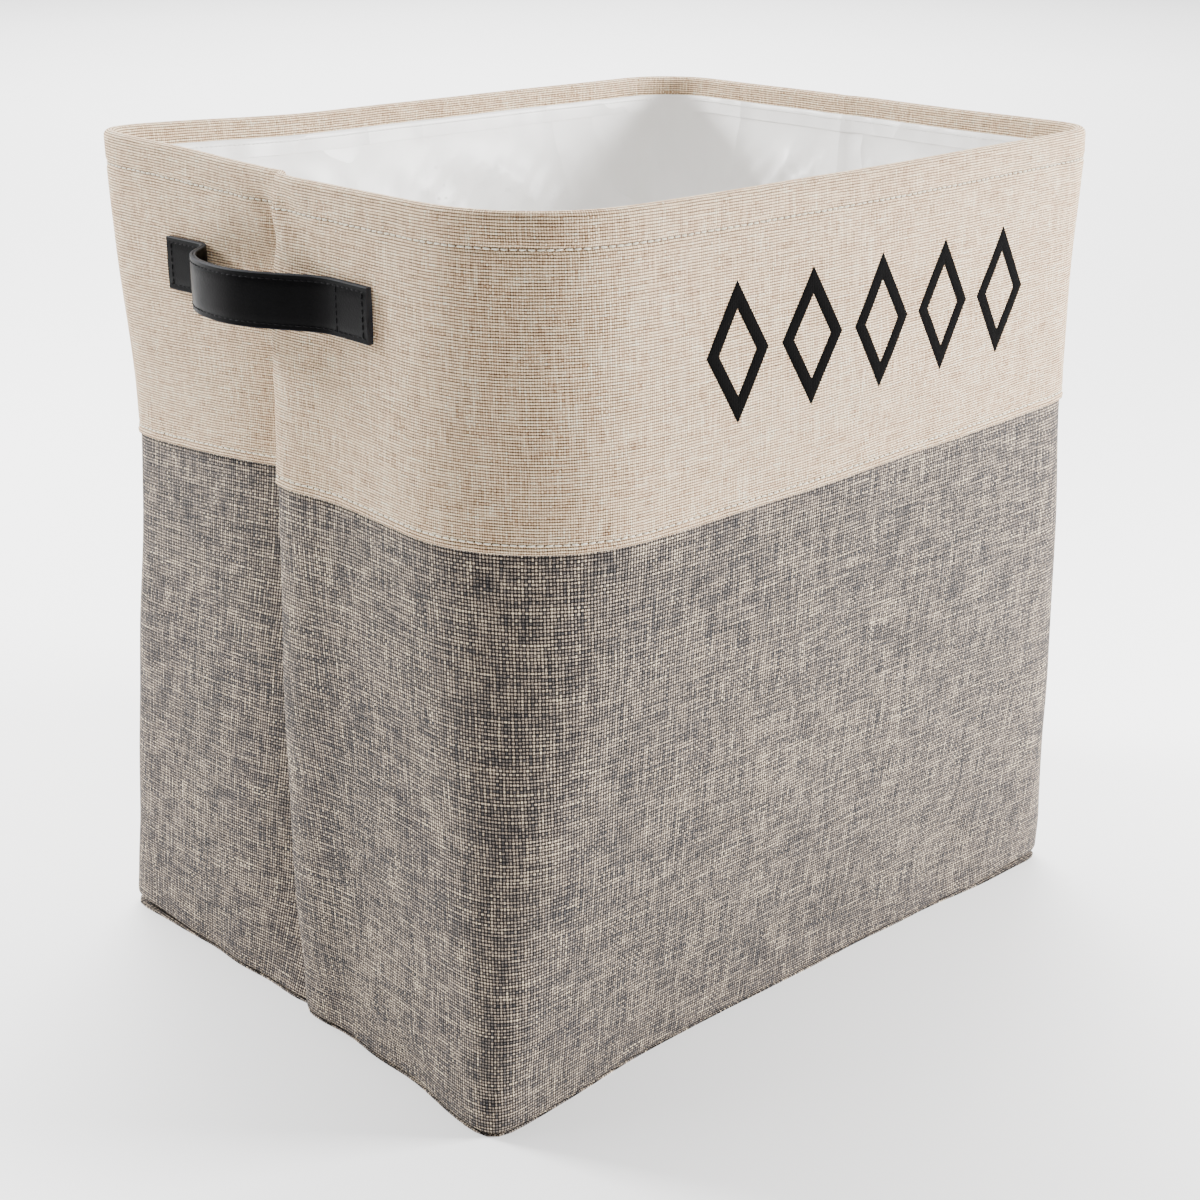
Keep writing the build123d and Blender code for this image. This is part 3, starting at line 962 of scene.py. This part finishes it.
def strap_curve(end):
    """Smooth points along the strap's middle, and the index of the one over the seam."""
    line = np.array(STRAP_LINE, float)
    knots = np.arange(len(line))
    fine = np.linspace(0, len(line) - 1, FINE * (len(line) - 1) + 1)
    low = np.clip(np.floor(fine).astype(int), 0, len(line) - 2)
    smooth_line = cubic(line, np.gradient(line, knots, axis=0), low, (fine - low)[:, None])
    y, off = smooth_line[:, 0], np.maximum(smooth_line[:, 1], 0)
    free = np.array([-STRAP_FREE, STRAP_FREE])
    chord = np.interp(y, free, wall_x(free, STRAP_Z, end))
    held = ease_open(np.where(np.abs(y) < STRAP_FREE, chord, wall_x(y, STRAP_Z, end)), 10)
    x = end * (held + 0.5 + PLY + off)
    middle = int(round(np.interp(0, -line[:, 0], knots) * FINE))
    y[middle] = 0
    return np.column_stack([x, y]), middle


def strap_section(outer):
    """One ply in section: points (out from the middle line, height), and how many are on its face."""
    half = STRAP_WIDTH / 2
    upper = np.array([0, half / 2, half - 3.1, EDGE_ROW, half - 1.5, half - 0.4])
    heights = np.concatenate([-upper[:0:-1], upper])
    groove = 0.16 * bell(np.abs(heights) - EDGE_ROW, 0.6)
    face = PLY + CROWN * (1 - (heights / half) ** 2) - groove
    edge = [(PLY - 0.35, half), (PLY_GAP + 0.1, half)]
    back = [(PLY_GAP, half - 0.3), (PLY_GAP, 0), (PLY_GAP, -half + 0.3)]
    lower = [(PLY_GAP + 0.1, -half), (PLY - 0.35, -half)]
    section = np.array(list(zip(face, heights)) + edge + back + lower)
    return section * (1 if outer else -1, 1), len(heights)


def strap_ply(name, curve, end, outer):
    """One ply of the strap along part of its curve, and the directions out from that curve.

    Its face takes the leather, and its edges and back the duller cut edge.
    """
    section, face_count = strap_section(outer)
    direction = np.gradient(curve, axis=0)
    direction /= np.linalg.norm(direction, axis=1)[:, None]
    out = np.stack([-direction[:, 1], direction[:, 0]], 1)
    out *= np.sign(out[np.argmax(np.abs(out[:, 0])), 0]) * end
    verts, count = [], len(section)
    for (x, y), (nx, ny) in zip(curve, out):
        for n, z in section:
            verts.append((x + nx * n, y + ny * n, STRAP_Z + z))
    faces, kinds = [], []
    turn = (end < 0) == outer
    for r in range(len(curve) - 1):
        for c in range(count):
            a, b = r * count + c, r * count + (c + 1) % count
            quad = (a, b, b + count, a + count)
            faces.append(quad if turn else quad[::-1])
            kinds.append(0 if c < face_count - 1 else 1)
    last = (len(curve) - 1) * count
    caps = [tuple(range(count)), tuple(last + c for c in range(count))]
    faces += [caps[0][::-1] if turn else caps[0], caps[1] if turn else caps[1][::-1]]
    kinds += [1, 1]
    obj = make_mesh(name, np.array(verts), faces, sharp=40)
    obj.data.materials.append(MATERIALS["black_leather"])
    obj.data.materials.append(MATERIALS["cut_edge"])
    obj.data.polygons.foreach_set("material_index", kinds)
    return obj, out


def edge_stitching(curve, out, z):
    """A line on the strap's face at height z, with its outward normals."""
    path = np.column_stack([curve + out * (PLY - 0.05), np.full(len(curve), STRAP_Z + z)])
    return path, np.column_stack([out, np.zeros(len(out))])


def tab_stitching(curve, out, index):
    """A line up the strap's face at one point of its curve, with its outward normals."""
    z = np.linspace(-EDGE_ROW, EDGE_ROW, 60)
    point = curve[index] + out[index] * (PLY + CROWN)
    path = np.column_stack([np.tile(point, (len(z), 1)), STRAP_Z + z])
    return path, np.tile([*out[index], 0.0], (len(z), 1))


def settle_handle(obj, end, q):
    """A handle half rides on its half of the end wall."""
    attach(obj, q)
    anchor = end * (wall_x(0.0, STRAP_Z, end) + 0.4) * MM
    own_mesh(obj)


def merge(name, objects):
    """One mesh object from several, which are removed."""
    parts = []
    for o in objects:
        co = np.zeros(len(o.data.vertices) * 3)
        o.data.vertices.foreach_get("co", co)
        parts.append((co.reshape(-1, 3) / MM, [tuple(p.vertices) for p in o.data.polygons]))
        bpy.data.objects.remove(o)
    return join_parts(name, parts)


def handles():
    """Each strap in two plies, split over the seam, with its stitching."""
    for end, end_name in ((-1, "left"), (1, "right")):
        curve, middle = strap_curve(end)
        for side, part in (("rear", curve[:middle + 1]), ("front", curve[middle:])):
            q = end_name + "_" + side
            for outer, layer in ((True, "face"), (False, "backing")):
                name = "handle_" + end_name + "_" + layer
                obj, out = strap_ply(name + "_" + side, part, end, outer)
                finish_piece(obj, name)
                settle_handle(obj, end, q)
            rows = [edge_stitching(part, out, z) for z in (-EDGE_ROW, EDGE_ROW)]
            rows += [tab_stitching(part, out, index) for index in TAB_ROWS[side]]
            threads = [stitches("row", *row, *TAB_STITCH, TAB_SEED + i) for i, row in enumerate(rows)]
            obj = merge("tab_stitch_" + q + "_look", threads)
            finish_piece(obj, "tab_stitch_" + q)
            settle_handle(obj, end, q)


# --- The print: a plain row of open lozenges ---
MOTIF_COUNT, MOTIF_STROKE = 5, 7.0
MOTIF_SHAPE = 0.6  # a lozenge's width as a share of its height
MOTIF_AROUND, MOTIF_ACROSS = 96, 5  # points round each lozenge and across its stroke
MOTIF_EDGE, MOTIF_FACE, MOTIF_DEPTH = 0.02, 0.22, 0.35
CLOTH_LIFT = 3.0  # the band hangs about this much above its nominal height there


def on_front(x, z, out):
    """A point on the front of the band at x and real height z, and its distance along the cloth."""
    pick = np.arange(SAMPLES // 2, SAMPLES * 3 // 2 + 1)
    points, normal, along = surface(pick, z - CLOTH_LIFT, 0)
    y, nx, ny, a = (np.interp(x, points[:, 0], v) for v in (points[:, 1], normal[:, 0], normal[:, 1], along))
    return (x + nx * out, y + ny * out, z), a


def lozenge_outline(share):
    """A point of a lozenge with half width and half height 1, at a share of the way round."""
    corners = [(1, 0), (0, 1), (-1, 0), (0, -1), (1, 0)]
    leg, part = int(share * 4), share * 4 - int(share * 4)
    return [a * (1 - part) + b * part for a, b in zip(corners[leg], corners[leg + 1])]


def printed_motif():
    """Five open lozenges of film that lie on the front, over the area of the plain solid."""
    low, high = (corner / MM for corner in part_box("printed_motif"))
    height, z_mid = high.z - low.z, (low.z + high.z) / 2
    width = height * MOTIF_SHAPE
    pitch = (high.x - low.x - width) / (MOTIF_COUNT - 1)
    verts, uv = [], []
    for i in range(MOTIF_COUNT):
        x_mid = low.x + width / 2 + i * pitch
        for a in range(MOTIF_AROUND):
            cx, cz = lozenge_outline(a / MOTIF_AROUND)
            for c in range(MOTIF_ACROSS):
                scale = 1 - c / (MOTIF_ACROSS - 1) * 2 * MOTIF_STROKE / width
                out = MOTIF_EDGE if c in (0, MOTIF_ACROSS - 1) else MOTIF_FACE
                point, along = on_front(x_mid + cx * width / 2 * scale, z_mid + cz * height / 2 * scale, out)
                verts.append(point)
                uv.append((along, point[2] - CLOTH_LIFT))
    count = len(verts)
    faces, flipped, rims = [], [], []
    for i in range(MOTIF_COUNT):
        for a in range(MOTIF_AROUND):
            p = (i * MOTIF_AROUND + a) * MOTIF_ACROSS
            r = (i * MOTIF_AROUND + (a + 1) % MOTIF_AROUND) * MOTIF_ACROSS
            for c in range(MOTIF_ACROSS - 1):
                quad = (p + c, r + c, r + c + 1, p + c + 1)
                faces.append(quad)
                flipped.append(tuple(count + k for k in quad[::-1]))
            rims.append((p, p + count, r + count, r))
            p, r = p + MOTIF_ACROSS - 1, r + MOTIF_ACROSS - 1
            rims.append((r, r + count, p + count, p))
    back = [(x, y + MOTIF_DEPTH, z) for x, y, z in verts]
    obj = make_mesh("printed_motif_look", verts + back, faces + flipped + rims, uv + uv)
    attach(finish_piece(obj, "printed_motif"), "front")


cloth()
stitch_rows()
rim_cords()
boards()
seam_tapes()
handle_patches()
base()
handles()
printed_motif()


# --- Studio ---
def floor():
    """A plain pale floor, large enough to fill the view."""
    bpy.ops.mesh.primitive_grid_add(x_subdivisions=4, y_subdivisions=4, size=12)
    obj = bpy.context.object
    obj.name = "floor"
    n = Nodes("floor")
    tone = n.noise(object_point(n), 0.7, 2.0)
    n.set(Base_Color=n.ramp(tone, [(0.3, (0.91, 0.91, 0.91)), (0.7, (0.94, 0.94, 0.94))]), Roughness=0.8)
    obj.data.materials.append(n.material)


def softbox(name, place, aim, size, power):
    """A square area light at place, turned towards aim."""
    light = bpy.data.lights.new(name, "AREA")
    light.energy, light.size, light.shape = power, size, "SQUARE"
    obj = bpy.data.objects.new(name, light)
    bpy.context.scene.collection.objects.link(obj)
    obj.location = place
    obj.rotation_mode = "QUATERNION"
    obj.rotation_quaternion = (Vector(aim) - Vector(place)).to_track_quat("-Z", "Y")


def studio():
    """Even light from all sides, stronger from the right and the back, over a bright backdrop."""
    world = bpy.data.worlds.new("studio")
    world.use_nodes = True
    background = world.node_tree.nodes["Background"]
    background.inputs[0].default_value = (1.0, 1.0, 1.0, 1.0)
    background.inputs[1].default_value = 0.35
    bpy.context.scene.world = world
    softbox("key_right", (0.95, -0.95, 0.72), (0.15, -0.1, 0.25), 0.5, 62)
    softbox("fill_left", (-0.75, 1.35, 1.05), (-0.15, 0.0, 0.3), 0.4, 60)
    softbox("overhead", (0.7, 1.6, 3.0), (0.4, 0.8, 0.0), 3.8, 310)
    softbox("backdrop", (2.8, 3.4, 3.0), (2.8, 3.4, 0.0), 4.0, 500)


def camera():
    """A little above the rim, looking down at the near left corner."""
    turn, down = math.radians(42.6), math.radians(20.6)
    data = bpy.data.cameras.new("camera")
    data.sensor_width, data.lens = 36.0, 63.13
    obj = bpy.data.objects.new("camera", data)
    bpy.context.scene.collection.objects.link(obj)
    obj.location = (-0.6855, -0.7492, 0.5433)
    look = Vector((math.sin(turn) * math.cos(down), math.cos(turn) * math.cos(down), -math.sin(down)))
    obj.rotation_mode = "QUATERNION"
    obj.rotation_quaternion = look.to_track_quat("-Z", "Y")
    bpy.context.scene.camera = obj


floor()
studio()
camera()
